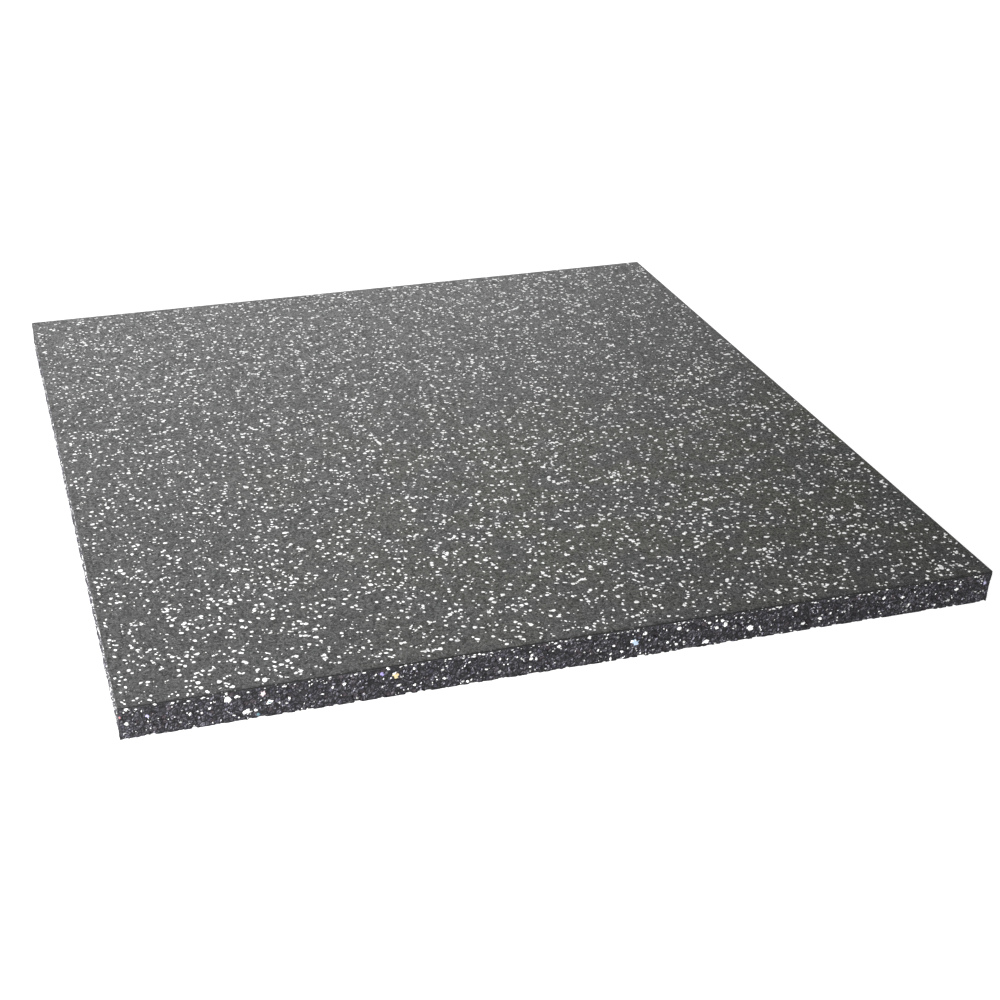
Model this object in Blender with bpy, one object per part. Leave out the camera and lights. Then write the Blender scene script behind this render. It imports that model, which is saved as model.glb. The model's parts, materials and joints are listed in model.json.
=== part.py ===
"""Rubber floor tile: one square slab of crumb rubber, moulded in one press.

The slab lies on its underside with its walking face up. The origin is the centre of the
underside, +Z points up, and the four straight edges face -X, +X, -Y and +Y. All lengths are
in metres.

The edge has a section of its own. The fine top course is pressed tight and ends in a crisp
arris. The coarse crumb under it springs back a little less than the top, so it stands
slightly inside the top course.
"""
import math

import bmesh
import bpy

# Driving dimensions
SIDE = 0.500
THICKNESS = 0.0205
TOP_COURSE = 0.0035
BASE_SETBACK = 0.0004
CORNER_RADIUS = 0.0020
TOP_ARRIS = 0.0005
BASE_ARRIS = 0.0005

# Flat facets along each quarter turn
CORNER_FACETS = 6
ARRIS_FACETS = 3

# Finish of the plain solid
CHARCOAL = (0.060, 0.060, 0.058, 1.0)
ROUGHNESS = 0.88


def clear_scene():
    """Remove whatever the open file holds."""
    for thing in list(bpy.data.objects):
        bpy.data.objects.remove(thing, do_unlink=True)


def quarter_turn(facets):
    """Angles from 0 to 90 degrees, in equal steps."""
    return [math.pi / 2 * step / facets for step in range(facets + 1)]


def edge_section():
    """The edge from underside to walking face, as (inset from the widest outline, height)."""
    course_line = THICKNESS - TOP_COURSE
    section = []
    for turn in quarter_turn(ARRIS_FACETS):
        inset = BASE_SETBACK + BASE_ARRIS * (1 - math.sin(turn))
        section.append((inset, BASE_ARRIS * (1 - math.cos(turn))))
    section.append((BASE_SETBACK, course_line - BASE_SETBACK))
    section.append((0.0, course_line))
    for turn in quarter_turn(ARRIS_FACETS):
        inset = TOP_ARRIS * (1 - math.cos(turn))
        section.append((inset, THICKNESS - TOP_ARRIS * (1 - math.sin(turn))))
    return section


def outline(inset):
    """The tile's plan as a square with round corners, drawn in by an inset."""
    radius = CORNER_RADIUS - inset
    centre = SIDE / 2 - CORNER_RADIUS
    points = []
    for corner, (side_x, side_y) in enumerate(((1, 1), (-1, 1), (-1, -1), (1, -1))):
        for turn in quarter_turn(CORNER_FACETS):
            angle = corner * math.pi / 2 + turn
            points.append((
                side_x * centre + radius * math.cos(angle),
                side_y * centre + radius * math.sin(angle),
            ))
    return points


def slab_mesh():
    """Loops of the plan at each height of the edge section, bridged and closed at both ends."""
    bm = bmesh.new()
    loops = []
    for inset, height in edge_section():
        ring = [bm.verts.new((x, y, height)) for x, y in outline(inset)]
        edges = [bm.edges.new((a, b)) for a, b in zip(ring, ring[1:] + ring[:1])]
        loops.append((ring, edges))
    for (_, lower), (_, upper) in zip(loops, loops[1:]):
        bmesh.ops.bridge_loops(bm, edges=lower + upper)
    bm.faces.new(loops[0][0])
    bm.faces.new(loops[-1][0])
    bmesh.ops.recalc_face_normals(bm, faces=bm.faces)
    mesh = bpy.data.meshes.new("tile")
    bm.to_mesh(mesh)
    bm.free()
    mesh.shade_smooth()
    mesh.set_sharp_from_angle(angle=math.radians(35))
    return mesh


def crumb_rubber():
    """Matt charcoal rubber."""
    material = bpy.data.materials.new("crumb_rubber")
    material.use_nodes = True
    shader = material.node_tree.nodes["Principled BSDF"]
    shader.inputs["Base Color"].default_value = CHARCOAL
    shader.inputs["Roughness"].default_value = ROUGHNESS
    shader.inputs["Metallic"].default_value = 0.0
    return material


def build_tile():
    """The whole tile, one moulded piece."""
    mesh = slab_mesh()
    mesh.materials.append(crumb_rubber())
    tile = bpy.data.objects.new("tile", mesh)
    bpy.context.scene.collection.objects.link(tile)


clear_scene()
build_tile()
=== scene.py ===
"""Dress a rubber floor tile: a slab of pressed crumb with a fine flecked top and a coarse base.

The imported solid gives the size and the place. Everything here is in metres, in its frame:
the tile lies on z = 0 with its walking face up, and its front edge faces -Y.
"""
import json
import math
import random
from functools import reduce

import bmesh
import bpy
import numpy as np
from bpy.props import FloatProperty, FloatVectorProperty, IntProperty, PointerProperty
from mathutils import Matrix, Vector
from mathutils.geometry import delaunay_2d_cdt

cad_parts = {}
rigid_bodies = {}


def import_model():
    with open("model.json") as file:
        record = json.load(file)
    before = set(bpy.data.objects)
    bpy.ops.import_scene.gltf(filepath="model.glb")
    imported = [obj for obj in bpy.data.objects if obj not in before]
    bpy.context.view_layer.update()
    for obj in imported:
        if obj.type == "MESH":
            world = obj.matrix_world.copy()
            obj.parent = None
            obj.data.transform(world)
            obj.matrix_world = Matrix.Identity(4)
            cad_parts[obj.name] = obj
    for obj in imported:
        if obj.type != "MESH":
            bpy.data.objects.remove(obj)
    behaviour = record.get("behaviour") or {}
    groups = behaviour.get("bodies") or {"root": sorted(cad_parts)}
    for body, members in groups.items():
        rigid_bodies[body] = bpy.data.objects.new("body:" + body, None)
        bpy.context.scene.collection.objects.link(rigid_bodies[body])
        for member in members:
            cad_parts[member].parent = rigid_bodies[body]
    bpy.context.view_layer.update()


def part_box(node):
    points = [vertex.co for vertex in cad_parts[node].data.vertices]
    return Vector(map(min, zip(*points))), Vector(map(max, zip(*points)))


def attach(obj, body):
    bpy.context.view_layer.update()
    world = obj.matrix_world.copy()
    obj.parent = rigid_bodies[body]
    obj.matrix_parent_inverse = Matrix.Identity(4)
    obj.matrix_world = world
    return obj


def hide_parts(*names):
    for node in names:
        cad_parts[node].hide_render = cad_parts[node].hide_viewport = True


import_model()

NODE = "tile"
BODY = "root"
CRUMB_SLOT = "crumb_rubber"
WHITE_SLOT = "white_fleck"
NODE_LOW, NODE_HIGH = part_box(NODE)

bl_info = {
    "name": "Rubber floor tile",
    "version": (1, 0, 0),
    "blender": (4, 5, 0),
    "location": "3D View > Sidebar > Floor tile",
    "description": "Builds a pressed crumb rubber floor tile with white flecks around its solid",
    "category": "Add Mesh",
}

MM = 0.001

# Attributes that the shapes hand to the materials
REST = "rest_place"
COARSE = "coarse"
TONE = "tone"
TINT = "tint"


def setting(kind, **extras):
    """A maker of one kind of property, which takes a name, a description and a default."""

    def make(name, description, default):
        return kind(name=name, description=description, default=default, **extras)

    return make


length = setting(FloatProperty, min=0.0, unit="LENGTH", precision=5)
position = setting(FloatProperty, unit="LENGTH")
bearing = setting(FloatProperty, subtype="ANGLE")
number = setting(FloatProperty, min=0.0)
whole = setting(IntProperty)
colour = setting(FloatVectorProperty, size=3, min=0.0, max=1.0, subtype="COLOR")


class SlabSizes(bpy.types.PropertyGroup):
    """The slab itself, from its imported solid."""

    side: length("Side", "Width of the square tile", NODE_HIGH.x - NODE_LOW.x)
    thickness: length("Thickness", "Height of the tile", NODE_HIGH.z - NODE_LOW.z)
    top_course: length("Top course", "Depth of the fine flecked crumb", 3.5 * MM)
    base_setback: length("Base setback", "How far the base stands inside the top course", 0.1 * MM)
    corner_radius: length("Corner radius", "Rounding of the upright corners", 0.8 * MM)
    top_arris: length("Top arris", "Rounding along the walking face", 0.5 * MM)
    base_arris: length("Base arris", "Rounding along the underside", 0.25 * MM)
    groove_drop: length("Groove drop", "From the walking face down to the faint groove", 0.75 * MM)
    groove_width: length("Groove width", "Width of the faint groove", 0.9 * MM)
    groove_depth: length("Groove depth", "Depth of the faint groove", 0.16 * MM)
    skin: length("Skin", "Room that the slab leaves inside its solid for the flecks", 0.06 * MM)
    mesh_step: length("Mesh step", "Spacing of the mesh on the edges", 0.82 * MM)
    lip_step: length("Lip step", "Height of a mesh row on the edge of the top course", 0.40 * MM)
    cap_step: length("Cap step", "Spacing of the mesh on the two flat faces", 8.0 * MM)


class CrumbSizes(bpy.types.PropertyGroup):
    """The rubber crumb that the slab is pressed from."""

    coarse_grain: length("Coarse grain", "Size of a grain in the base", 2.4 * MM)
    fine_grain: length("Fine grain", "Size of a grain in the top course", 1.05 * MM)
    crevice_width: number("Crevice width", "Width of the gap round a grain, as a share of it", 0.14)
    crevice_depth: length("Crevice depth", "Depth of the gaps between coarse grains", 0.30 * MM)
    grain_recess: length("Grain recess", "How far a grain may lie behind its neighbours", 0.30 * MM)
    lost_grain: length("Lost grain", "Depth of the hole that a lost grain leaves", 0.8 * MM)
    ragged_rim: length("Ragged rim", "How far the foot stands back where a grain is missing", 1.6 * MM)
    rim_height: length("Rim height", "Height of the ragged rim", 2.0 * MM)
    rim_seed: whole("Rim seed", "Seed of the ragged rim", 5)
    face_wave: length("Face wave", "Height of the slow waves in the walking face", 0.10 * MM)


class FleckSizes(bpy.types.PropertyGroup):
    """The white flecks in the top course."""

    seed: whole("Seed", "Seed of the scatter", 11)
    large_count: whole("Large flecks", "Large flecks on the walking face", 8300)
    small_count: whole("Small flecks", "Small flecks on the walking face", 8100)
    smallest: length("Smallest", "Length of the smallest fleck", 0.76 * MM)
    middle: length("Middle", "Length that parts small flecks from large ones", 2.05 * MM)
    largest: length("Largest", "Length of the largest fleck", 3.8 * MM)
    depth: length("Depth", "Thickness of a fleck", 0.16 * MM)
    clumping: number("Clumping", "Share of the flecks left out where they are sparse", 0.6)
    clump_size: length("Clump size", "Size of the patches where flecks are sparse", 11.0 * MM)
    edge_count: whole("Edge flecks", "Flecks round the edge of the top course", 620)
    edge_largest: length("Longest edge fleck", "Length of the longest fleck in the edge", 2.9 * MM)


class ChipSizes(bpy.types.PropertyGroup):
    """The chips of white and coloured rubber in the coarse base."""

    seed: whole("Seed", "Seed of the scatter", 23)
    large_count: whole("Large chips", "Large white chips round the base", 230)
    small_count: whole("Small chips", "Small white chips round the base", 1200)
    grey_count: whole("Grey chips", "Grey chips round the base", 2000)
    under_count: whole("Underside chips", "White chips in the underside", 1500)
    smallest: length("Smallest", "Length of the smallest chip", 0.6 * MM)
    middle: length("Middle", "Length that parts small chips from large ones", 1.7 * MM)
    largest: length("Largest", "Length of the largest scattered chip", 3.8 * MM)
    grey_largest: length("Longest grey chip", "Length of the longest grey chip", 2.2 * MM)
    depth: length("Depth", "Thickness of a chip", 1.0 * MM)


class TileColours(bpy.types.PropertyGroup):
    """The rubber's colours."""

    charcoal: colour("Charcoal", "Fine crumb of the top course", (0.027, 0.027, 0.026))
    black: colour("Black", "Coarse crumb of the base", (0.021, 0.020, 0.024))
    # The crevice colour is painted shade, for the gaps between the grains
    crevice: colour("Crevice", "Gaps between the grains", (0.004, 0.004, 0.005))
    white: colour("White", "Flecks and white chips", (0.90, 0.90, 0.89))
    floor: colour("Floor", "Pale floor under the tile", (0.40, 0.40, 0.40))


class StageSizes(bpy.types.PropertyGroup):
    """The camera and the floor."""

    azimuth: bearing("Azimuth", "Camera's turn about the tile", math.radians(-14.835))
    elevation: bearing("Elevation", "Camera's angle above the floor", math.radians(29.807))
    aim_x: position("Aim X", "Where the camera's axis meets the face", -0.08205)
    aim_y: position("Aim Y", "Where the camera's axis meets the face", -0.07905)
    distance: length("Distance", "From the camera to the aim point", 0.97065)
    focal: number("Focal length", "In mm, on a sensor 36 mm wide", 56.914)
    shift: number("Shift", "Sideways shift of the frame", 0.1462)
    rise: number("Rise", "Upward shift of the frame", 0.0013)
    floor_size: length("Floor", "Width of the floor", 12.0)


def add(tree, kind, values=None, **settings):
    """A new node with its settings, and its inputs set to numbers or joined to outputs."""
    node = tree.nodes.new(kind)
    for name, value in settings.items():
        setattr(node, name, value)
    for name, value in (values or {}).items():
        socket = next(s for s in node.inputs if s.enabled and s.name == name)
        connect(tree, socket, value)
    return node


def connect(tree, socket, value):
    """Joins an output to an input, or sets the input to a constant."""
    if isinstance(value, bpy.types.NodeSocket):
        tree.links.new(value, socket)
    else:
        socket.default_value = value


def out(node, name=None):
    """A node's first enabled output, or the enabled output of that name."""
    return next(s for s in node.outputs if s.enabled and name in (None, s.name))


def maths(tree, operation, *values):
    """A sum, product or other operation on numbers and outputs."""
    node = tree.nodes.new("ShaderNodeMath")
    node.operation = operation
    for socket, value in zip(node.inputs, values):
        connect(tree, socket, value)
    return node.outputs[0]


def product(tree, *values):
    """All the values multiplied together."""
    return reduce(lambda one, other: maths(tree, "MULTIPLY", one, other), values)


def total(tree, *values):
    """All the values added together."""
    return reduce(lambda one, other: maths(tree, "ADD", one, other), values)


def ramp(tree, value, low, high, to_low=0.0, to_high=1.0, smooth=True):
    """The value mapped from one range to another, clamped."""
    node = add(
        tree,
        "ShaderNodeMapRange",
        {"Value": value, "From Min": low, "From Max": high, "To Min": to_low, "To Max": to_high},
        interpolation_type="SMOOTHSTEP" if smooth else "LINEAR",
    )
    return out(node)


def spread(tree, value, low, high):
    """A random number from 0 to 1, spread evenly from low to high."""
    return ramp(tree, value, 0.0, 1.0, low, high, smooth=False)


def band(tree, value, middle, width):
    """One at the middle of a band, and nothing outside it."""
    away = maths(tree, "ABSOLUTE", maths(tree, "SUBTRACT", value, middle))
    inner = product(tree, width, 0.25)
    outer = product(tree, width, 0.6)
    return ramp(tree, away, inner, outer, 1.0, 0.0)


def blend(tree, factor, first, second, kind="MIX"):
    """Two colours mixed by a factor."""
    node = tree.nodes.new("ShaderNodeMix")
    node.data_type = "RGBA"
    node.blend_type = kind
    colours = [s for s in node.inputs if s.enabled and s.name in ("A", "B")]
    connect(tree, next(s for s in node.inputs if s.enabled and s.name == "Factor"), factor)
    for socket, value in zip(colours, (first, second)):
        connect(tree, socket, value if isinstance(value, bpy.types.NodeSocket) else (*value, 1.0))
    return out(node)


def tinted(tree, first, second):
    """Two colours, or a colour and a tone, multiplied together."""
    return blend(tree, 1.0, first, second, "MULTIPLY")


def cells(tree, place, size, feature="F1"):
    """Rounded cells of about that size, for grains."""
    return add(tree, "ShaderNodeTexVoronoi", {"Vector": place, "Scale": 1.0 / size}, feature=feature)


def noise(tree, place, size, detail, roughness):
    """Soft noise with features of about that size."""
    values = {"Vector": place, "Scale": 1.0 / size, "Detail": detail, "Roughness": roughness}
    return add(tree, "ShaderNodeTexNoise", values).outputs[0]


def own_noise(tree, size, detail, roughness):
    """Soft noise in the piece's own coordinates."""
    return noise(tree, out(tree.nodes.new("ShaderNodeTexCoord"), "Object"), size, detail, roughness)


def material_with_shader(name):
    """An empty node material and its Principled shader."""
    material = bpy.data.materials.new(name)
    material.use_nodes = True
    return material, material.node_tree, material.node_tree.nodes["Principled BSDF"]


def paint(name):
    """A colour from the tile's properties."""
    return tuple(getattr(bpy.context.scene.tile_colours, name))


def attribute(tree, name, output):
    """A mesh attribute in a shader."""
    node = tree.nodes.new("ShaderNodeAttribute")
    node.attribute_name = name
    return node.outputs[output]


def three_parts(tree, colour_output):
    """The three channels of a random colour, as three random numbers."""
    node = add(tree, "ShaderNodeSeparateColor", {"Color": colour_output})
    return node.outputs[0], node.outputs[1], node.outputs[2]


def bump(tree, shader, *layers):
    """Joins heights in metres, each with its strength, to the shader's normal."""
    normal = None
    for height, strength in layers:
        node = add(tree, "ShaderNodeBump", {"Height": height, "Strength": strength, "Distance": 1.0})
        if normal is not None:
            tree.links.new(normal, node.inputs["Normal"])
        normal = node.outputs[0]
    tree.links.new(normal, shader.inputs["Normal"])


def surface(tree, shader, colour_output, soil, dulls, relief, strength):
    """Joins a colour to the shader, and lets the same soil make it duller and uneven."""
    tree.links.new(colour_output, shader.inputs["Base Color"])
    tree.links.new(ramp(tree, soil, 0.3, 0.7, *dulls), shader.inputs["Roughness"])
    bump(tree, shader, (product(tree, soil, relief), strength))


def combined(tree, x=0.0, y=0.0, z=0.0):
    """A vector from its three parts."""
    return out(add(tree, "ShaderNodeCombineXYZ", {"X": x, "Y": y, "Z": z}))


def slanted(tree, place, lean, squash):
    """Places sheared and squashed, so that a texture on the edges runs in slanted strokes."""
    part = add(tree, "ShaderNodeSeparateXYZ", {"Vector": place})
    side = product(tree, part.outputs["Z"], -lean)
    x = total(tree, part.outputs["X"], side)
    y = total(tree, part.outputs["Y"], side)
    return combined(tree, x, y, product(tree, part.outputs["Z"], squash))


# Sizes of the features in the fine crumb, and the heights of its bumps
FINE_DUST = 0.35 * MM
FINE_CLUMP = 2.1 * MM
TONE_PATCH = 60 * MM
CAST_PATCH = 28 * MM
DOME_HEIGHT = 0.12 * MM
FUZZ_HEIGHT = 0.16 * MM

# How far below the walking face its own colour starts to give way to the painted shade of the upright
# side, and where only that shade is left
FACE_FADE = 0.2 * MM
FACE_END = 0.5 * MM

# The plain and the olive cast of the walking face, and where the olive fades to the back, front and left
COOL_CAST = (1.0, 1.0, 1.05)
OLIVE_CAST = (1.04, 1.05, 0.72)
CAST_BACK = (-0.05, 0.10)
CAST_FRONT = (-0.25, -0.14)
CAST_LEFT = (-0.20, 0.0)

# Stray pale grains among the fine crumb
PALE_GRAIN = (0.34, 0.34, 0.34)


def fine_crumb():
    """Walking face and arris: fine charcoal crumb pressed nearly smooth, with painted shade on the upright
    side below the face and the darkest painted shade in the groove.
    """
    crumb = bpy.context.scene.crumb_sizes
    slab = bpy.context.scene.slab_sizes
    material, tree, shader = material_with_shader("fine_crumb")
    place = attribute(tree, REST, "Vector")
    grain = cells(tree, place, crumb.fine_grain)
    gap = out(cells(tree, place, crumb.fine_grain, "DISTANCE_TO_EDGE"), "Distance")
    pick, speck, sheen = three_parts(tree, out(grain, "Color"))
    clump = three_parts(tree, out(cells(tree, place, FINE_CLUMP), "Color"))[0]
    dust = noise(tree, place, FINE_DUST, 3.0, 0.6)
    patches = noise(tree, place, TONE_PATCH, 3.0, 0.6)
    tone = product(
        tree,
        spread(tree, pick, 0.1, 2.1),
        spread(tree, clump, 0.65, 1.35),
        ramp(tree, dust, 0.3, 0.7, 0.50, 1.50),
        # Grains darken towards their edges: painted shade in the gaps between them
        ramp(tree, gap, 0.0, 0.14, 0.55, 1.0),
        ramp(tree, patches, 0.35, 0.65, 0.94, 1.06),
    )
    part = add(tree, "ShaderNodeSeparateXYZ", {"Vector": place})
    height = part.outputs["Z"]
    groove = band(tree, height, slab.thickness - slab.groove_drop, slab.groove_width)
    # The upright side below the walking face is painted in the base's black at 0.6 of the tone: painted
    # shade
    above = ramp(tree, height, slab.thickness - FACE_END, slab.thickness - FACE_FADE)
    side_shade = ramp(tree, above, 0.0, 1.0, 0.6, 1.0)
    # The groove is darkened to 0.08 of the tone: a painted shadow line along the arris
    tone = product(tree, tone, side_shade, ramp(tree, groove, 0.0, 1.0, 1.0, 0.08))
    side_shaded_colour = blend(tree, above, paint("black"), paint("charcoal"))
    cast = noise(tree, place, CAST_PATCH, 3.0, 0.5)
    near = ramp(tree, part.outputs["Y"], *CAST_BACK, 1.0, 0.0)
    foremost = ramp(tree, part.outputs["Y"], *CAST_FRONT, 0.5, 1.0)
    right = ramp(tree, part.outputs["X"], *CAST_LEFT, 0.15, 1.0)
    dusty = product(tree, ramp(tree, cast, 0.42, 0.56), near, foremost, right, above)
    olive = blend(tree, dusty, COOL_CAST, OLIVE_CAST)
    grey = tinted(tree, tinted(tree, side_shaded_colour, tone), olive)
    core = ramp(tree, out(grain, "Distance"), 0.22, 0.40, 1.0, 0.0)
    pale = product(tree, ramp(tree, speck, 0.945, 0.955), core)
    face = blend(tree, product(tree, pale, 0.6), grey, PALE_GRAIN)
    tree.links.new(face, shader.inputs["Base Color"])
    matt = spread(tree, sheen, 0.30, 0.88)
    tree.links.new(maths(tree, "MAXIMUM", matt, groove), shader.inputs["Roughness"])
    shader.inputs["IOR"].default_value = 1.50
    domes = product(tree, ramp(tree, gap, 0.0, 0.40), DOME_HEIGHT)
    fuzz = product(tree, dust, FUZZ_HEIGHT)
    bump(tree, shader, (domes, 1.0), (fuzz, 1.0))
    return material


# Sizes of the features in the coarse crumb, and the heights of its bumps
GRIT = 0.30 * MM
SLIVER = 0.7 * MM
HIGHLIGHT_STROKE = 1.1 * MM
CURL = 1.5 * MM
GRIT_HEIGHT = 0.14 * MM
PIT_HEIGHT = 0.16 * MM

# Tints of a few of its grains, the grey of its painted highlight strokes, and the greys of its veins and
# slivers
PLAIN_TINT = (1.0, 1.0, 1.0)
BROWN_TINT = (1.16, 0.96, 0.94)
BLUE_TINT = (0.95, 0.95, 1.14)
HIGHLIGHT_GREY = (0.24, 0.23, 0.27)
VEIN_GREY = (0.17, 0.165, 0.20)
SLIVER_GREY = (0.18, 0.175, 0.20)


def coarse_crumb():
    """The base: coarse black crumb with painted shade in its crevices, pale slanted strokes of painted
    highlight and stray tints.
    """
    crumb = bpy.context.scene.crumb_sizes
    material, tree, shader = material_with_shader("coarse_crumb")
    place = attribute(tree, REST, "Vector")
    grain = cells(tree, place, crumb.coarse_grain)
    gap = out(cells(tree, place, crumb.coarse_grain, "DISTANCE_TO_EDGE"), "Distance")
    pick, hue, rare = three_parts(tree, out(grain, "Color"))
    leaning = slanted(tree, place, 0.6, 0.35)
    small_pick, small_rare, _ = three_parts(tree, out(cells(tree, leaning, SLIVER), "Color"))
    sliver_gap = out(cells(tree, leaning, SLIVER, "DISTANCE_TO_EDGE"), "Distance")
    dust = noise(tree, place, GRIT, 3.0, 0.65)
    streak = noise(tree, slanted(tree, place, 0.2, 0.15), SLIVER, 2.0, 0.6)
    tone = product(
        tree,
        spread(tree, pick, 0.55, 1.45),
        spread(tree, small_pick, 0.25, 1.8),
        ramp(tree, dust, 0.3, 0.7, 0.45, 1.7),
        ramp(tree, streak, 0.35, 0.65, 0.65, 1.4),
    )
    brown = blend(tree, ramp(tree, hue, 0.90, 0.93), PLAIN_TINT, BROWN_TINT)
    blue = blend(tree, ramp(tree, hue, 0.07, 0.10, 1.0, 0.0), brown, BLUE_TINT)
    black = tinted(tree, tinted(tree, paint("black"), tone), blue)
    # Pale slanted strokes on a few cells: painted highlights along the grains
    highlight_cells = cells(tree, slanted(tree, place, 0.7, 0.3), HIGHLIGHT_STROKE)
    luck, shade, _ = three_parts(tree, out(highlight_cells, "Color"))
    core = ramp(tree, out(highlight_cells, "Distance"), 0.14, 0.30, 1.0, 0.0)
    painted_highlight = product(tree, ramp(tree, luck, 0.80, 0.82), core, ramp(tree, shade, 0.0, 1.0, 0.3, 0.9))
    black = blend(tree, painted_highlight, black, HIGHLIGHT_GREY)
    curl = noise(tree, slanted(tree, place, 0.5, 0.6), CURL, 1.0, 0.4)
    vein = product(tree, band(tree, curl, 0.55, 0.05), ramp(tree, rare, 0.3, 0.8), 0.7)
    black = blend(tree, vein, black, VEIN_GREY)
    greys = product(tree, ramp(tree, small_rare, 0.93, 0.95), ramp(tree, rare, 0.2, 0.6), 0.6)
    black = blend(tree, greys, black, SLIVER_GREY)
    # Crevices between the grains take the painted shade colour
    skin = blend(tree, ramp(tree, gap, 0.02, crumb.crevice_width), paint("crevice"), black)
    tree.links.new(skin, shader.inputs["Base Color"])
    tree.links.new(ramp(tree, dust, 0.25, 0.75, 0.6, 0.9), shader.inputs["Roughness"])
    shader.inputs["IOR"].default_value = 1.48
    shader.inputs["Specular IOR Level"].default_value = 0.30
    pits = product(tree, sliver_gap, PIT_HEIGHT)
    grit = product(tree, dust, GRIT_HEIGHT)
    bump(tree, shader, (pits, 0.9), (grit, 0.9))
    return material


def pale_rubber(name, dullest):
    """White rubber, faintly soiled, each piece in a tone of its own down to the dullest."""
    material, tree, shader = material_with_shader(name)
    tone = ramp(tree, attribute(tree, TONE, "Fac"), 0.0, 0.5, dullest, 1.0, smooth=False)
    soil = own_noise(tree, 0.6 * MM, 3.0, 0.6)
    tone = product(tree, tone, ramp(tree, soil, 0.30, 0.62, 0.84, 1.0))
    white = tinted(tree, paint("white"), tone)
    surface(tree, shader, white, soil, dulls=(0.5, 0.7), relief=0.05 * MM, strength=0.6)
    return material


def white_rubber():
    """The bright flecks of the top course."""
    return pale_rubber("white_rubber", 0.8)


def soiled_rubber():
    """The duller white chips of the base."""
    return pale_rubber("soiled_rubber", 0.15)


# The greys that a grey chip's tone lies between, and the soil on it
DARK_LAVENDER = (0.09, 0.085, 0.11)
PALE_LAVENDER = (0.36, 0.35, 0.42)
GREY_SOIL = (0.04, 0.04, 0.05)


def grey_rubber():
    """Grey rubber with a cast of lavender, each chip in its own tone."""
    material, tree, shader = material_with_shader("grey_rubber")
    soil = own_noise(tree, 0.5 * MM, 3.0, 0.65)
    grey = blend(tree, attribute(tree, TONE, "Fac"), DARK_LAVENDER, PALE_LAVENDER)
    grey = blend(tree, ramp(tree, soil, 0.30, 0.55, 1.0, 0.0), grey, GREY_SOIL)
    surface(tree, shader, grey, soil, dulls=(0.65, 0.9), relief=0.10 * MM, strength=0.7)
    return material


# Wear and dust on a coloured chip
PALE_WEAR = (0.60, 0.60, 0.62)
DARK_DUST = (0.06, 0.06, 0.07)


def coloured_rubber():
    """Stray coloured rubber: each chip has a tint of its own, mottled and dusty."""
    material, tree, shader = material_with_shader("coloured_rubber")
    tint = attribute(tree, TINT, "Color")
    mottle = own_noise(tree, 0.8 * MM, 4.0, 0.7)
    worn = blend(tree, ramp(tree, mottle, 0.50, 0.74, 0.0, 0.4), tint, PALE_WEAR)
    dark = blend(tree, ramp(tree, mottle, 0.25, 0.42, 0.6, 0.0), worn, DARK_DUST)
    surface(tree, shader, dark, mottle, dulls=(0.6, 0.85), relief=0.12 * MM, strength=0.7)
    return material


# Light that the floor gives by itself
FLOOR_GLOW = 0.85


def pale_floor():
    """Matt pale floor with a faint mottle, lit a little from within like a light table."""
    material, tree, shader = material_with_shader("pale_floor")
    tone = ramp(tree, own_noise(tree, 0.4, 3.0, 0.5), 0.3, 0.7, 0.985, 1.0)
    tree.links.new(tinted(tree, paint("floor"), tone), shader.inputs["Base Color"])
    shader.inputs["Roughness"].default_value = 0.9
    shader.inputs["Emission Color"].default_value = (1.0, 1.0, 1.0, 1.0)
    shader.inputs["Emission Strength"].default_value = FLOOR_GLOW
    return material


def link_object(name, mesh):
    """A new object at the origin, linked to the scene."""
    thing = bpy.data.objects.new(name, mesh)
    bpy.context.scene.collection.objects.link(thing)
    return thing


def dress(piece):
    """Makes a finished piece ride on the tile's body."""
    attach(piece, BODY)


def node_group(name, **inputs):
    """An empty geometry tree with inputs named under their kinds, and its two ends."""
    tree = bpy.data.node_groups.new(name, "GeometryNodeTree")
    tree.interface.new_socket("Geometry", in_out="INPUT", socket_type="NodeSocketGeometry")
    for kind, labels in inputs.items():
        for label in labels:
            tree.interface.new_socket(label, in_out="INPUT", socket_type="NodeSocket" + kind)
    tree.interface.new_socket("Geometry", in_out="OUTPUT", socket_type="NodeSocketGeometry")
    return tree, tree.nodes.new("NodeGroupInput").outputs, tree.nodes.new("NodeGroupOutput").inputs[0]


def run_tree(thing, tree, values):
    """Runs a geometry tree on an object, and leaves the result as its plain mesh."""
    modifier = thing.modifiers.new(tree.name, "NODES")
    modifier.node_group = tree
    for item in tree.interface.items_tree:
        if item.in_out == "INPUT" and item.name in values:
            modifier[item.identifier] = values[item.name]
    depsgraph = bpy.context.evaluated_depsgraph_get()
    mesh = bpy.data.meshes.new_from_object(
        thing.evaluated_get(depsgraph), preserve_all_data_layers=True, depsgraph=depsgraph
    )
    thing.modifiers.clear()
    mesh.name = thing.name
    thing.data = mesh


# Facets along each quarter turn of the plan's corners and of the two arrises
CORNER_FACETS = 4
ARRIS_FACETS = 3


def quarter_turn(facets):
    """Angles from 0 to 90 degrees, in equal steps."""
    return [math.pi / 2 * step / facets for step in range(facets + 1)]


def plan_ring(slab):
    """The tile's plan as feet on a square and the way out from each, as two arrays.

    A point of the outline that stands an inset inside the tile is foot + way * (radius - inset).
    """
    centre = slab.side / 2 - slab.corner_radius
    steps = round(2 * centre / slab.mesh_step)
    corners = ((centre, centre), (-centre, centre), (-centre, -centre), (centre, -centre))
    feet, ways = [], []
    for index, corner in enumerate(corners):
        following = corners[(index + 1) % 4]
        for turn in quarter_turn(CORNER_FACETS):
            angle = index * math.pi / 2 + turn
            feet.append(corner)
            ways.append((math.cos(angle), math.sin(angle)))
        for step in range(1, steps):
            along = step / steps
            feet.append([a + (b - a) * along for a, b in zip(corner, following)])
            ways.append(ways[-1])
    return np.array(feet), np.array(ways)


def between(low, high, step):
    """Heights from low up to high, about a step apart, without the two ends."""
    count = round((high - low) / step)
    return [low + (high - low) * index / count for index in range(1, count)]


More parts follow.
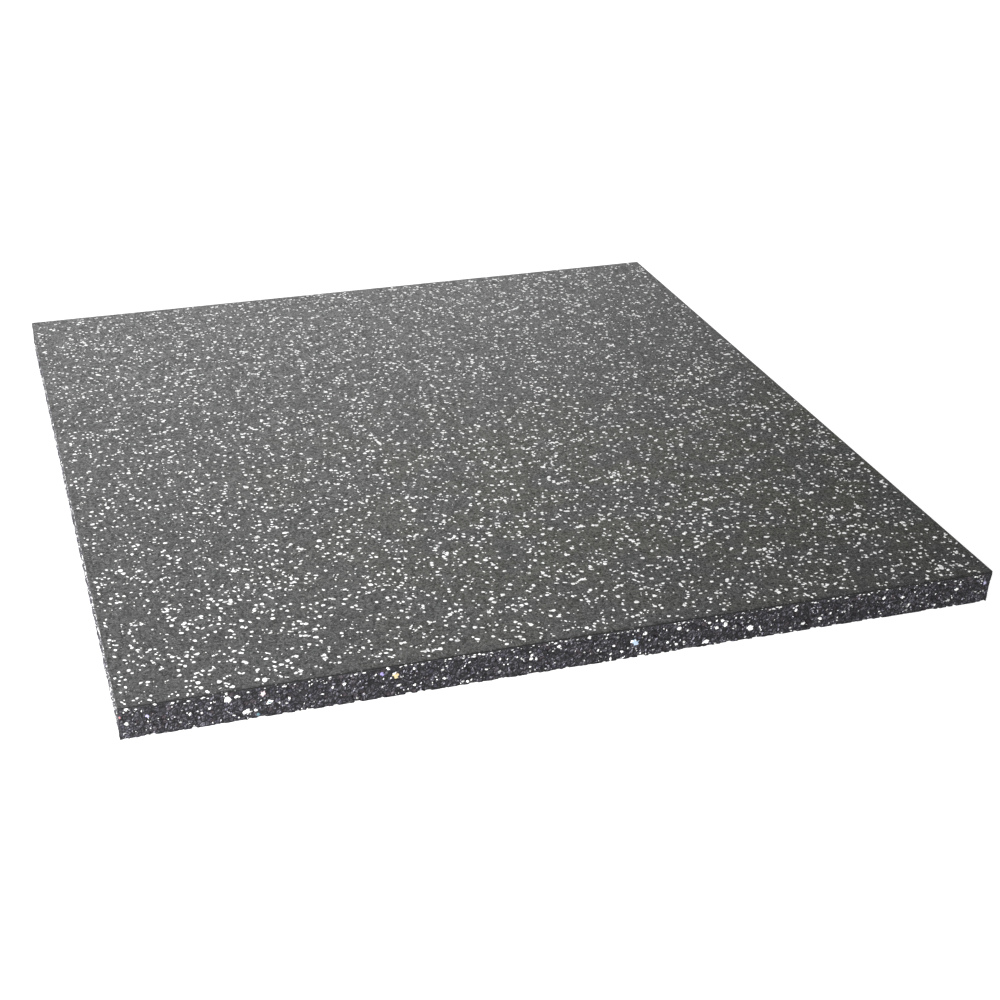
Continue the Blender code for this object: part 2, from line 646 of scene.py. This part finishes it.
def edge_section(slab):
    """The edge from the underside to the walking face, as (inset, height, coarse) rows."""
    setback = slab.base_setback
    floor = slab.skin
    foot = floor + slab.base_arris
    line = slab.thickness - slab.top_course
    top = slab.thickness - slab.skin
    rows = [(setback + slab.base_arris + slab.lip_step, floor, 1.0)]
    for turn in quarter_turn(ARRIS_FACETS):
        inset = setback + slab.base_arris * (1 - math.sin(turn))
        rows.append((inset, floor + slab.base_arris * (1 - math.cos(turn)), 1.0))
    rows += [(setback, height, 1.0) for height in between(foot, line - setback, slab.mesh_step)]
    rows.append((setback, line - setback, 1.0))
    rows.append((slab.skin, line, 0.0))
    lip = between(line, top - slab.top_arris, slab.lip_step)
    rows += [(slab.skin, height, 0.0) for height in lip]
    for turn in quarter_turn(ARRIS_FACETS):
        inset = slab.skin + slab.top_arris * (1 - math.cos(turn))
        rows.append((inset, top - slab.top_arris * (1 - math.sin(turn)), 0.0))
    rows.append((slab.skin + slab.top_arris + slab.lip_step, top, 0.0))
    return rows


# Points closer than this are taken as one
MERGE_DISTANCE = 1e-7


def cap(outline, step):
    """Triangles that fill a flat outline, with points of their own inside it at about that step."""
    half = outline[:, 0].max() - step
    ticks = np.linspace(-half, half, round(2 * half / step) + 1)
    points = [Vector(p) for p in outline]
    points += [Vector((x, y)) for y in ticks for x in ticks]
    edges = [(i, (i + 1) % len(outline)) for i in range(len(outline))]
    places, _, faces, *_ = delaunay_2d_cdt(points, edges, [], 1, MERGE_DISTANCE)
    return np.array(places), faces


def rim_losses(crumb, columns):
    """How far each column of the edge stands back at its foot: little, but for missing grains."""
    rng = random.Random(crumb.rim_seed)
    losses = []
    while len(losses) < columns:
        losses += [crumb.ragged_rim * rng.random() ** 3] * rng.randint(1, 4)
    return np.array(losses[:columns])


def slab_mesh(slab, crumb):
    """The closed slab: its edge as rows of the plan's outline, and its two faces as caps."""
    feet, ways = plan_ring(slab)
    rows = edge_section(slab)
    count = len(feet)
    losses = rim_losses(crumb, count)
    points, coarse, faces = [], [], []
    for inset, height, roughness in rows:
        loss = losses * max(0.0, 1 - height / crumb.rim_height)
        flat = feet + ways * (slab.corner_radius - inset - loss)[:, None]
        points.append(np.column_stack((flat, np.full(count, height))))
        coarse += [roughness] * count
    for low in range(0, (len(rows) - 1) * count, count):
        high = low + count
        for i in range(count):
            j = (i + 1) % count
            faces.append((low + i, low + j, high + j, high + i))
    for row, order in ((0, -1), (len(rows) - 1, 1)):
        places, triangles = cap(points[row][:, :2], slab.cap_step)
        first, rest = row * count, len(coarse) - count
        for triangle in triangles:
            corners = [index + (first if index < count else rest) for index in triangle]
            faces.append(corners[::order])
        inner = places[count:]
        points.append(np.column_stack((inner, np.full(len(inner), rows[row][1]))))
        coarse += [rows[row][2]] * len(inner)
    points = np.vstack(points)
    mesh = bpy.data.meshes.new("tile_body")
    mesh.from_pydata(points.tolist(), [], faces)
    mesh.attributes.new(COARSE, "FLOAT", "POINT").data.foreach_set("value", coarse)
    rest = mesh.attributes.new(REST, "FLOAT_VECTOR", "POINT")
    rest.data.foreach_set("vector", points.astype(np.float32).ravel())
    mesh.shade_smooth()
    return mesh


# Size and height of the bumps on a coarse grain, and size of the walking face's waves
GRAIN_BUMP = 1.3 * MM
BUMP_HEIGHT = 0.18 * MM
WAVE_SIZE = 30 * MM


def relief_tree():
    """Sinks gaps, lost grains and the groove into the slab, and parts its crumbs at the groove."""
    tree, given, end = node_group(
        "crumb_relief",
        Float=(
            "Grain", "Crevice Width", "Crevice Depth", "Grain Recess", "Lost Grain", "Face Wave",
            "Groove Height", "Groove Width", "Groove Depth", "Smooth Height",
        ),
        Vector=("Low Corner", "High Corner"),
        Material=("Fine", "Coarse"),
    )
    place = out(tree.nodes.new("GeometryNodeInputPosition"))
    normal = out(tree.nodes.new("GeometryNodeInputNormal"))
    stored = add(tree, "GeometryNodeInputNamedAttribute", {"Name": COARSE}, data_type="FLOAT")
    coarse = out(stored, "Attribute")
    height = out(add(tree, "ShaderNodeSeparateXYZ", {"Vector": place}), "Z")
    scale = maths(tree, "DIVIDE", 1.0, given["Grain"])
    cell = {"Vector": place, "Scale": scale}
    grain = add(tree, "ShaderNodeTexVoronoi", cell, feature="F1")
    gap = out(add(tree, "ShaderNodeTexVoronoi", cell, feature="DISTANCE_TO_EDGE"))
    pick, luck, _ = add(tree, "FunctionNodeSeparateColor", {"Color": out(grain, "Color")}).outputs[:3]
    depth = total(
        tree,
        product(tree, ramp(tree, gap, 0.0, given["Crevice Width"], 1.0, 0.0), given["Crevice Depth"]),
        product(tree, maths(tree, "POWER", pick, 2.0), given["Grain Recess"]),
        product(tree, ramp(tree, luck, 0.94, 0.96), given["Lost Grain"]),
        product(tree, noise(tree, place, GRAIN_BUMP, 3.0, 0.6), BUMP_HEIGHT),
    )
    slope = maths(tree, "ABSOLUTE", out(add(tree, "ShaderNodeSeparateXYZ", {"Vector": normal}), "Z"))
    depth = product(tree, depth, ramp(tree, slope, 0.6, 0.95, 1.0, 0.15), coarse)
    wave = product(tree, noise(tree, place, WAVE_SIZE, 2.0, 0.5), given["Face Wave"])
    groove = band(tree, height, given["Groove Height"], given["Groove Width"])
    groove = product(tree, groove, given["Groove Depth"])
    fine = maths(tree, "SUBTRACT", 1.0, coarse)
    depth = total(tree, depth, product(tree, total(tree, wave, groove), fine))
    back = product(tree, depth, -1.0)
    inward = add(tree, "ShaderNodeVectorMath", {"Scale": back}, operation="SCALE")
    tree.links.new(normal, inward.inputs[0])
    inside = out(inward)
    limits = (("ADD", place), ("MAXIMUM", given["Low Corner"]), ("MINIMUM", given["High Corner"]))
    for operation, limit in limits:
        node = add(tree, "ShaderNodeVectorMath", operation=operation)
        tree.links.new(inside, node.inputs[0])
        tree.links.new(limit, node.inputs[1])
        inside = out(node)
    moved = add(tree, "GeometryNodeSetPosition", {"Geometry": given["Geometry"], "Position": inside})
    plain = add(tree, "GeometryNodeSetMaterial", {"Geometry": out(moved), "Material": given["Fine"]})
    both = add(tree, "GeometryNodeSetMaterial", {
        "Geometry": out(plain),
        "Selection": maths(tree, "LESS_THAN", height, given["Smooth Height"]),
        "Material": given["Coarse"],
    })
    tree.links.new(out(both), end)
    return tree


# How far a chip's corners may stray from even spacing, as a share of it
CORNER_STRAY = 0.35


def chip_outline(rng, corners, raggedness):
    """An irregular outline about one unit long, as a list of points."""
    points = []
    for corner in range(corners):
        turn = 2 * math.pi * (corner + rng.uniform(-CORNER_STRAY, CORNER_STRAY)) / corners
        reach = 0.5 * rng.uniform(1 - raggedness, 1.0)
        points.append((reach * math.cos(turn), reach * math.sin(turn)))
    return points


def chip_mesh(name, outline, levels):
    """A closed flat chip: the outline repeated at levels of (width, height), closed at each end."""
    bm = bmesh.new()
    rings = []
    for width, height in levels:
        rings.append([bm.verts.new((x * width, y * width, height)) for x, y in outline])
    count = len(outline)
    for upper, lower in zip(rings, rings[1:]):
        for i in range(count):
            j = (i + 1) % count
            bm.faces.new((upper[i], lower[i], lower[j], upper[j]))
    bm.faces.new(rings[0])
    bm.faces.new(list(reversed(rings[-1])))
    bmesh.ops.triangulate(bm, faces=bm.faces)
    bmesh.ops.recalc_face_normals(bm, faces=bm.faces)
    mesh = bpy.data.meshes.new(name)
    bm.to_mesh(mesh)
    bm.free()
    return mesh


# Levels of (width, height) for a thin fleck and for a thicker chip with a worn upper edge
FLECK_LEVELS = ((0.88, 0.0), (1.0, -1.0))
CHIP_LEVELS = ((0.82, 0.0), (1.0, -0.10), (0.9, -1.0))


class ChipKind:
    """The chip shapes of one scatter, kept out of the scene, and that scatter's own seed.

    Each shape has one of the given numbers of corners. The raggedness is the share of its
    reach that a corner may lack.
    """

    def __init__(self, name, seed, step, kinds, corners, raggedness, levels):
        rng = random.Random(seed + step)
        self.seed = seed + 10 * step
        self.kinds = kinds
        self.group = bpy.data.collections.new(name)
        for kind in range(kinds):
            outline = chip_outline(rng, rng.choice(corners), raggedness)
            mesh = chip_mesh(f"{name}_{kind}", outline, levels)
            self.group.objects.link(bpy.data.objects.new(mesh.name, mesh))

    def discard(self):
        """Removes the shapes once their scatter is made."""
        for shape in list(self.group.objects):
            mesh = shape.data
            bpy.data.objects.remove(shape)
            bpy.data.meshes.remove(mesh)
        bpy.data.collections.remove(self.group)


def scatter_tree():
    """Scatters chips over a guide mesh, flat on it, each with its own size, turn and tone."""
    tree, given, end = node_group(
        "chip_scatter",
        Collection=("Chips",),
        Int=("Kinds", "Seed"),
        Float=(
            "Density", "Smallest", "Largest", "Rarity", "Slimmest", "Widest",
            "Turn Low", "Turn High", "Depth", "Sink", "Clumping", "Clump Size",
        ),
        Material=("Material",),
    )

    def chance(low, high, step, kind="FLOAT"):
        """A random value, from the draw of that step."""
        seed = total(tree, given["Seed"], float(step))
        values = {"Min": low, "Max": high, "Seed": seed}
        return out(add(tree, "FunctionNodeRandomValue", values, data_type=kind))

    points = add(tree, "GeometryNodeDistributePointsOnFaces", {
        "Mesh": given["Geometry"], "Density": given["Density"], "Seed": given["Seed"],
    })
    clump = add(tree, "ShaderNodeTexNoise", {
        "Vector": out(tree.nodes.new("GeometryNodeInputPosition")),
        "Scale": maths(tree, "DIVIDE", 1.0, given["Clump Size"]),
    })
    thin = product(tree, ramp(tree, out(clump), 0.38, 0.60, 1.0, 0.0), given["Clumping"])
    spare = maths(tree, "LESS_THAN", chance(0.0, 1.0, 7), thin)
    kept = add(tree, "GeometryNodeDeleteGeometry", {"Geometry": out(points, "Points"), "Selection": spare})
    angle = chance(given["Turn Low"], given["Turn High"], 1)
    turn = add(tree, "FunctionNodeAxisAngleToRotation", {"Axis": (0.0, 0.0, 1.0), "Angle": angle})
    turns = {"Rotation": out(points, "Rotation"), "Rotate By": out(turn)}
    rotation = add(tree, "FunctionNodeRotateRotation", turns, rotation_space="LOCAL")
    rare = maths(tree, "POWER", chance(0.0, 1.0, 2), given["Rarity"])
    reach = maths(tree, "SUBTRACT", given["Largest"], given["Smallest"])
    size = maths(tree, "MULTIPLY_ADD", rare, reach, given["Smallest"])
    width = product(tree, size, chance(given["Slimmest"], given["Widest"], 6))
    chips = add(tree, "GeometryNodeCollectionInfo", {
        "Collection": given["Chips"], "Separate Children": True, "Reset Children": True,
    })
    placed = add(tree, "GeometryNodeInstanceOnPoints", {
        "Points": out(kept),
        "Instance": out(chips),
        "Pick Instance": True,
        "Instance Index": chance(0, maths(tree, "SUBTRACT", given["Kinds"], 1.0), 3, "INT"),
        "Rotation": out(rotation),
        "Scale": combined(tree, size, width, given["Depth"]),
    })
    drop = combined(tree, z=product(tree, given["Sink"], chance(-1.0, 0.0, 4)))
    lower = {"Instances": out(placed), "Translation": drop, "Local Space": True}
    sunk = add(tree, "GeometryNodeTranslateInstances", lower)
    tones = {"Geometry": out(sunk), "Name": TONE, "Value": chance(0.0, 1.0, 5)}
    toned = add(tree, "GeometryNodeStoreNamedAttribute", tones, data_type="FLOAT", domain="INSTANCE")
    real = add(tree, "GeometryNodeRealizeInstances", {"Geometry": out(toned)})
    painted = add(tree, "GeometryNodeSetMaterial", {"Geometry": out(real), "Material": given["Material"]})
    tree.links.new(out(painted), end)
    return tree


class Guide:
    """A mesh for a scatter to lie on, with its area."""

    def __init__(self, name, points, faces, area):
        mesh = bpy.data.meshes.new(name)
        mesh.from_pydata(points, [], faces)
        self.piece = link_object(name, mesh)
        self.area = area


def square(half, height):
    """The four corners of a level square, anticlockwise from above."""
    return [(-half, -half, height), (half, -half, height), (half, half, height), (-half, half, height)]


def flat_guide(name, half, height, facing_up):
    """A level square sheet."""
    face = (0, 1, 2, 3) if facing_up else (3, 2, 1, 0)
    return Guide(name, square(half, height), [face], (2 * half) ** 2)


def edge_guide(name, slab, inset, low, high, longest):
    """Four upright strips round the tile, on which chips of that length stay clear of its corners."""
    reach = slab.side / 2 - inset
    half = slab.side / 2 - slab.corner_radius - longest / 2
    points, faces = [], []
    for quarter in range(4):
        across = round(math.cos(quarter * math.pi / 2))
        up = round(math.sin(quarter * math.pi / 2))
        first = len(points)
        for along, height in ((-half, low), (half, low), (half, high), (-half, high)):
            points.append((along * across + reach * up, along * up - reach * across, height))
        faces.append(tuple(range(first, first + 4)))
    return Guide(name, points, faces, 8 * half * (high - low))


def shared_material(maker):
    """The material of that maker's name, made the first time that it is asked for."""
    return bpy.data.materials.get(maker.__name__) or maker()


# What a scatter does unless it is told otherwise: sizes evenly spread, and no clumping
PLAIN_SCATTER = {"Rarity": 1.0, "Clumping": 0.0, "Clump Size": 8 * MM}
ANY_TURN = (0.0, 2 * math.pi)


def scatter(guide, count, kind, rubber, slot, lengths, widths=(0.6, 1.0), turns=ANY_TURN, **others):
    """Replaces a guide by about that many chips lying on it, before clumping thins them out.

    Lengths, widths and turns each have a low and a high. Widths are shares of a chip's length.
    """
    values = dict(PLAIN_SCATTER)
    values.update({"Chips": kind.group, "Kinds": kind.kinds, "Seed": kind.seed})
    values.update({"Density": count / guide.area, "Material": shared_material(rubber)})
    values["Smallest"], values["Largest"] = lengths
    values["Slimmest"], values["Widest"] = widths
    values["Turn Low"], values["Turn High"] = turns
    values.update({name.replace("_", " ").title(): value for name, value in others.items()})
    run_tree(guide.piece, scatter_tree(), values)
    dress(guide.piece)
    kind.discard()


class TILE_OT_body(bpy.types.Operator):
    """Build the pressed slab with its crumb relief"""

    bl_idname = "tile.body"
    bl_label = "Slab"

    def execute(self, context):
        slab = context.scene.slab_sizes
        crumb = context.scene.crumb_sizes
        body = link_object("tile_body", slab_mesh(slab, crumb))
        margin = Vector((1.0, 1.0, 1.0)) * (slab.skin / 2)
        run_tree(body, relief_tree(), {
            "Grain": crumb.coarse_grain,
            "Crevice Width": crumb.crevice_width,
            "Crevice Depth": crumb.crevice_depth,
            "Grain Recess": crumb.grain_recess,
            "Lost Grain": crumb.lost_grain,
            "Face Wave": crumb.face_wave,
            "Groove Height": slab.thickness - slab.groove_drop,
            "Groove Width": slab.groove_width,
            "Groove Depth": slab.groove_depth,
            "Smooth Height": slab.thickness - slab.groove_drop - slab.groove_width / 2,
            "Low Corner": NODE_LOW + margin,
            "High Corner": NODE_HIGH - margin,
            "Fine": fine_crumb(),
            "Coarse": coarse_crumb(),
        })
        dress(body)
        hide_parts(NODE)
        return {"FINISHED"}


# How far flecks and chips start below the solid's faces, and how much deeper they may be pressed
FLECK_INSET = 0.005 * MM
FLECK_SINK = 0.03 * MM
UNDERSIDE_INSET = 0.01 * MM
CHIP_INSET = 0.02 * MM
CHIP_SINK = 0.2 * MM

# Turns that lay a face fleck mostly across the photograph's view
ACROSS = (-1.15, 0.65)

# The shortest edge fleck, and how far their band stays above the base and below the groove
EDGE_SMALLEST = 0.8 * MM
EDGE_FOOT = 0.7 * MM
EDGE_HEAD = 0.5 * MM

# How far large chips' middles stay below the top course, and how far small ones' reach into it
LARGE_CLEARANCE = 0.8 * MM
SMALL_OVERLAP = 1.2 * MM

# The underside's chips: their distance from its edges, and their thickness
UNDERSIDE_MARGIN = 4 * MM
UNDERSIDE_DEPTH = 0.3 * MM


class TILE_OT_face_flecks(bpy.types.Operator):
    """Scatter the white flecks over the walking face"""

    bl_idname = "tile.face_flecks"
    bl_label = "Face flecks"

    def execute(self, context):
        slab = context.scene.slab_sizes
        fleck = context.scene.fleck_sizes
        reach = slab.side / 2 - slab.top_arris
        height = slab.thickness - FLECK_INSET
        alike = {"depth": fleck.depth, "clumping": fleck.clumping, "clump_size": fleck.clump_size}
        scatter(
            flat_guide("face_flecks_large", reach - fleck.largest / 2, height, True),
            fleck.large_count,
            ChipKind("large_fleck", fleck.seed, 0, 16, (7, 8), 0.45, FLECK_LEVELS),
            white_rubber, WHITE_SLOT, (fleck.middle, fleck.largest), (0.36, 1.0), ACROSS,
            rarity=1.6, sink=FLECK_SINK, **alike,
        )
        scatter(
            flat_guide("face_flecks_small", reach - fleck.middle / 2, height, True),
            fleck.small_count,
            ChipKind("small_fleck", fleck.seed, 1, 12, (5, 6), 0.35, FLECK_LEVELS),
            white_rubber, WHITE_SLOT, (fleck.smallest, fleck.middle), (0.5, 1.0), ACROSS,
            sink=FLECK_SINK, **alike,
        )
        return {"FINISHED"}


class TILE_OT_edge_flecks(bpy.types.Operator):
    """Scatter the white flecks that show in the edge of the top course"""

    bl_idname = "tile.edge_flecks"
    bl_label = "Edge flecks"

    def execute(self, context):
        slab = context.scene.slab_sizes
        fleck = context.scene.fleck_sizes
        low = slab.thickness - slab.top_course + EDGE_FOOT
        high = slab.thickness - slab.groove_drop - EDGE_HEAD
        scatter(
            edge_guide("edge_flecks", slab, FLECK_INSET, low, high, fleck.edge_largest),
            fleck.edge_count,
            ChipKind("edge_fleck", fleck.seed, 2, 12, (6, 7, 8), 0.45, FLECK_LEVELS),
            white_rubber, WHITE_SLOT, (EDGE_SMALLEST, fleck.edge_largest), (0.3, 0.55), (-0.2, 0.3),
            rarity=1.6, depth=2 * fleck.depth, sink=FLECK_SINK,
        )
        return {"FINISHED"}


class TILE_OT_base_chips(bpy.types.Operator):
    """Scatter the white and grey chips in the base's four sides and its underside"""

    bl_idname = "tile.base_chips"
    bl_label = "Base chips"

    def execute(self, context):
        slab = context.scene.slab_sizes
        chip = context.scene.chip_sizes
        line = slab.thickness - slab.top_course - slab.base_setback

        def round_base(name, longest, high):
            """A guide round the base for chips up to that length."""
            return edge_guide(name, slab, CHIP_INSET, longest / 2, high, longest)

        scatter(
            round_base("base_chips_large", chip.largest, line - LARGE_CLEARANCE),
            chip.large_count,
            ChipKind("large_chip", chip.seed, 0, 18, (9, 10, 11), 0.55, CHIP_LEVELS),
            soiled_rubber, WHITE_SLOT, (chip.middle, chip.largest), (0.4, 1.0), (-0.4, 1.5),
            rarity=2.2, depth=chip.depth, sink=CHIP_SINK,
        )
        scatter(
            round_base("base_chips_small", chip.middle, line + SMALL_OVERLAP),
            chip.small_count,
            ChipKind("small_chip", chip.seed, 1, 12, (6, 7), 0.5, CHIP_LEVELS),
            soiled_rubber, WHITE_SLOT, (chip.smallest, chip.middle), (0.22, 0.65), (-0.4, 1.6),
            rarity=1.3, depth=chip.depth, sink=CHIP_SINK,
        )
        scatter(
            round_base("base_chips_grey", chip.grey_largest, line + SMALL_OVERLAP),
            chip.grey_count,
            ChipKind("grey_chip", chip.seed, 2, 12, (6, 7), 0.5, CHIP_LEVELS),
            grey_rubber, CRUMB_SLOT, (chip.smallest, chip.grey_largest), (0.18, 0.5), (-0.2, 1.5),
            rarity=1.3, depth=chip.depth, sink=CHIP_SINK,
        )
        scatter(
            flat_guide("underside_chips", slab.side / 2 - UNDERSIDE_MARGIN, UNDERSIDE_INSET, False),
            chip.under_count,
            ChipKind("under_chip", chip.seed, 3, 12, (6, 7, 8), 0.5, FLECK_LEVELS),
            soiled_rubber, WHITE_SLOT, (chip.smallest, chip.largest), (0.5, 1.0),
            rarity=2.6, depth=UNDERSIDE_DEPTH, sink=0.0,
        )
        return {"FINISHED"}


# Stray colours of crumb, as they show in the coarse base
STRAY_COLOURS = {
    "rose": (0.42, 0.19, 0.21),
    "pink": (0.58, 0.46, 0.49),
    "violet": (0.25, 0.21, 0.46),
    "lavender": (0.36, 0.34, 0.52),
    "sky": (0.36, 0.46, 0.58),
    "teal": (0.05, 0.12, 0.15),
    "sand": (0.52, 0.41, 0.22),
    "white": (0.86, 0.86, 0.85),
}

# The front chips stand this far inside the solid, each a hair prouder than the one before it
FRONT_INSET = 0.10 * MM
FRONT_STEP = 0.003 * MM

# Corners and raggedness of a front chip, and its draws' step from the chips' seed
FRONT_CORNERS = 14
FRONT_RAGGEDNESS = 0.6
FRONT_DRAW = 5

# The chips that catch the eye along the front edge: millimetres from its left end, millimetres
# below the walking face, width, height, turn in degrees, and colour
FRONT_CHIPS = (
    (1.2, 6.0, 1.6, 2.2, 20, "rose"),
    (4.6, 1.6, 3.6, 1.5, 5, "white"),
    (15.0, 8.0, 2.2, 2.6, 35, "lavender"),
    (56.5, 5.4, 5.4, 4.2, 10, "white"),
    (74.5, 5.4, 3.4, 5.0, -20, "pink"),
    (78.0, 11.3, 5.4, 3.0, 10, "white"),
    (78.0, 11.3, 3.8, 1.7, 10, "teal"),
    (66.0, 15.0, 5.2, 3.4, 15, "white"),
    (70.6, 15.0, 2.2, 2.6, 0, "white"),
    (72.0, 18.0, 3.4, 2.4, 10, "teal"),
    (138.0, 4.8, 3.4, 3.0, 15, "violet"),
    (145.5, 7.0, 4.8, 4.2, -10, "sand"),
    (156.0, 15.2, 2.4, 2.0, 30, "white"),
    (221.0, 10.4, 2.4, 1.6, 20, "white"),
    (223.8, 10.8, 1.6, 1.8, -30, "white"),
    (236.5, 5.0, 3.0, 2.2, 15, "white"),
    (281.0, 10.4, 5.6, 4.6, -15, "sky"),
    (279.0, 9.2, 3.0, 1.8, 25, "white"),
    (324.0, 5.0, 2.2, 2.0, 40, "white"),
    (328.2, 4.2, 1.8, 1.6, 0, "white"),
    (331.6, 4.8, 2.0, 2.6, 60, "white"),
    (349.5, 12.6, 5.2, 3.8, -25, "white"),
    (431.5, 7.0, 3.2, 2.0, 20, "white"),
    (443.5, 8.2, 3.0, 2.2, 30, "white"),
    (478.0, 8.8, 3.0, 2.4, 25, "white"),
    (496.0, 7.4, 2.4, 3.0, 10, "lavender"),
)


class TILE_OT_front_chips(bpy.types.Operator):
    """Set the large white and coloured chips of the front edge in their places"""

    bl_idname = "tile.front_chips"
    bl_label = "Front chips"

    def execute(self, context):
        slab = context.scene.slab_sizes
        chip = context.scene.chip_sizes
        rng = random.Random(chip.seed + FRONT_DRAW)
        face = -slab.side / 2 + FRONT_INSET
        points, faces, tints = [], [], []
        for index, (along, below, width, height, turn, name) in enumerate(FRONT_CHIPS):
            outline = chip_outline(rng, FRONT_CORNERS, FRONT_RAGGEDNESS)
            mesh = chip_mesh(f"front_chip_{index}", outline, CHIP_LEVELS)
            angle = math.radians(turn)
            depth = face - index * FRONT_STEP
            middle = Vector((along * MM - slab.side / 2, depth, slab.thickness - below * MM))
            first = len(points)
            for vertex in mesh.vertices:
                a, b = vertex.co.x * width * MM, vertex.co.y * height * MM
                across = a * math.cos(angle) - b * math.sin(angle)
                up = a * math.sin(angle) + b * math.cos(angle)
                points.append(middle + Vector((across, -vertex.co.z * chip.depth, up)))
            faces += [[first + corner for corner in polygon.vertices] for polygon in mesh.polygons]
            tints += [*STRAY_COLOURS[name], 1.0] * len(mesh.vertices)
            bpy.data.meshes.remove(mesh)
        joined = bpy.data.meshes.new("front_chips")
        joined.from_pydata(points, [], faces)
        joined.attributes.new(TINT, "FLOAT_COLOR", "POINT").data.foreach_set("color", tints)
        joined.materials.append(coloured_rubber())
        dress(link_object("front_chips", joined))
        return {"FINISHED"}


# The even light from all round, and the softboxes: name, power in watts, width and height, place,
# and the point that they face
SKY_STRENGTH = 0.25
SOFTBOXES = (
    ("back_softbox", 21.5, (2.5, 0.8), (-0.16, 1.55, 0.5), (0.0, 0.0, 0.0)),
    ("top_softbox", 7.0, (1.0, 0.8), (0.1, 1.45, 1.3), (0.05, 0.0, 0.0)),
    ("front_softbox", 23.5, (0.8, 0.6), (-0.80, -0.64, 0.32), (-0.2, -0.25, 0.0)),
)


class TILE_OT_stage(bpy.types.Operator):
    """Lay the floor and set the lights and the camera"""

    bl_idname = "tile.stage"
    bl_label = "Stage"

    def execute(self, context):
        stage = context.scene.stage_sizes
        lay_floor(stage)
        sky(SKY_STRENGTH)
        for box in SOFTBOXES:
            softbox(*box)
        set_camera(stage)
        context.scene.view_settings.view_transform = "Standard"
        return {"FINISHED"}


def lay_floor(stage):
    """A wide flat floor under the tile."""
    mesh = bpy.data.meshes.new("floor")
    mesh.from_pydata(square(stage.floor_size / 2, 0.0), [], [(0, 1, 2, 3)])
    mesh.materials.append(pale_floor())
    link_object("floor", mesh)


def sky(strength):
    """Even white light from all round."""
    world = bpy.data.worlds.new("studio")
    world.use_nodes = True
    background = world.node_tree.nodes["Background"]
    background.inputs["Color"].default_value = (0.97, 0.98, 1.0, 1.0)
    background.inputs["Strength"].default_value = strength
    bpy.context.scene.world = world


def aimed(name, data, place, back):
    """A lamp or camera at a place, turned to look away from the given direction."""
    thing = link_object(name, data)
    thing.location = place
    thing.rotation_euler = back.to_track_quat("Z", "Y").to_euler()
    return thing


def softbox(name, power, size, place, aim):
    """A rectangular diffuser of that width and height, which faces the aim point."""
    lamp = bpy.data.lights.new(name, "AREA")
    lamp.shape = "RECTANGLE"
    lamp.size, lamp.size_y = size
    lamp.energy = power
    aimed(name, lamp, place, Vector(place) - Vector(aim))


def set_camera(stage):
    """The photograph's view: level, off to the left, looking down on the tile."""
    turn, tilt = stage.azimuth, stage.elevation
    back = Vector((math.sin(turn) * math.cos(tilt), -math.cos(turn) * math.cos(tilt), math.sin(tilt)))
    lens = bpy.data.cameras.new("photo_camera")
    lens.sensor_width = 36.0
    lens.lens = stage.focal
    lens.shift_x = stage.shift
    lens.shift_y = stage.rise
    place = Vector((stage.aim_x, stage.aim_y, NODE_HIGH.z)) + back * stage.distance
    bpy.context.scene.camera = aimed("photo_camera", lens, place, back)


OPERATORS = (
    TILE_OT_body, TILE_OT_face_flecks, TILE_OT_edge_flecks,
    TILE_OT_base_chips, TILE_OT_front_chips, TILE_OT_stage,
)
PROPERTIES = {
    "slab_sizes": SlabSizes,
    "crumb_sizes": CrumbSizes,
    "fleck_sizes": FleckSizes,
    "chip_sizes": ChipSizes,
    "tile_colours": TileColours,
    "stage_sizes": StageSizes,
}


class TILE_PT_panel(bpy.types.Panel):
    """Lists the tile's pieces and the stage"""

    bl_idname = "TILE_PT_panel"
    bl_label = "Floor tile"
    bl_space_type = "VIEW_3D"
    bl_region_type = "UI"
    bl_category = "Floor tile"

    def draw(self, context):
        for operator in OPERATORS:
            self.layout.operator(operator.bl_idname)
        for name, group in PROPERTIES.items():
            box = self.layout.box()
            for key in group.__annotations__:
                box.prop(getattr(context.scene, name), key)


def register():
    for item in (*PROPERTIES.values(), *OPERATORS, TILE_PT_panel):
        bpy.utils.register_class(item)
    for name, group in PROPERTIES.items():
        setattr(bpy.types.Scene, name, PointerProperty(type=group))


def unregister():
    for name in PROPERTIES:
        delattr(bpy.types.Scene, name)
    for item in reversed((*PROPERTIES.values(), *OPERATORS, TILE_PT_panel)):
        bpy.utils.unregister_class(item)


def main():
    """Registers the add-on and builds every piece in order."""
    register()
    bpy.ops.tile.body()
    bpy.ops.tile.face_flecks()
    bpy.ops.tile.edge_flecks()
    bpy.ops.tile.base_chips()
    bpy.ops.tile.front_chips()
    bpy.ops.tile.stage()


if __name__ == "__main__":
    main()
